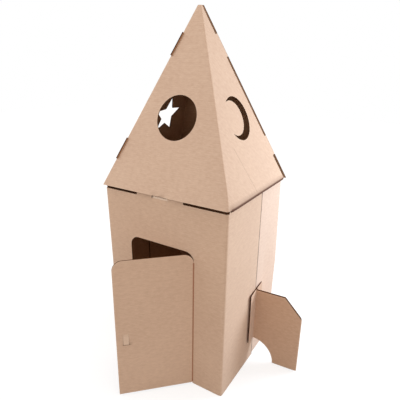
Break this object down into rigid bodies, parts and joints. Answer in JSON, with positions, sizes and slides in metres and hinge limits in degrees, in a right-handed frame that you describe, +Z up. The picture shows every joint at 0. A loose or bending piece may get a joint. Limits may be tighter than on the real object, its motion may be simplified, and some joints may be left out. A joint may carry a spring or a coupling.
{
  "type": "cardboard rocket playhouse",
  "caption": "Play rocket of brown corrugated card: box-shaped cabin with a hinged door flap, pointed roof with round, crescent and star windows, and folded side fins standing on the floor.",
  "frame": {"origin": "on the floor under the middle of the body, halfway between the front and back walls and between the side walls", "axes": "+Z up, -Y out of the front wall with the door, +X to the right of someone who faces the door"},
  "size_m": [0.97, 0.7216, 1.4569],
  "materials": {
    "kraft_card": "matt brown kraft liner",
    "kraft_card_door": "matt brown kraft liner",
    "kraft_card_rear": "matt brown kraft liner",
    "kraft_card_roof": "matt brown kraft liner",
    "kraft_card_fin": "matt brown kraft liner"
  },
  "bodies": {
    "house": {"front_sheet": "kraft_card", "rear_sheet": "kraft_card_rear", "roof_front_right": "kraft_card_roof", "roof_rear_left": "kraft_card_roof", "fin_right": "kraft_card_fin", "fin_left": "kraft_card_fin"},
    "door": {"door": "kraft_card_door"}
  },
  "joints": [
    {"name": "door_hinge", "type": "hinge", "parent": "house", "child": "door", "pos_m": [0.14, -0.25, 0.3], "axis": [0, 0, 1], "range_deg": [-45, 90]}
  ]
}
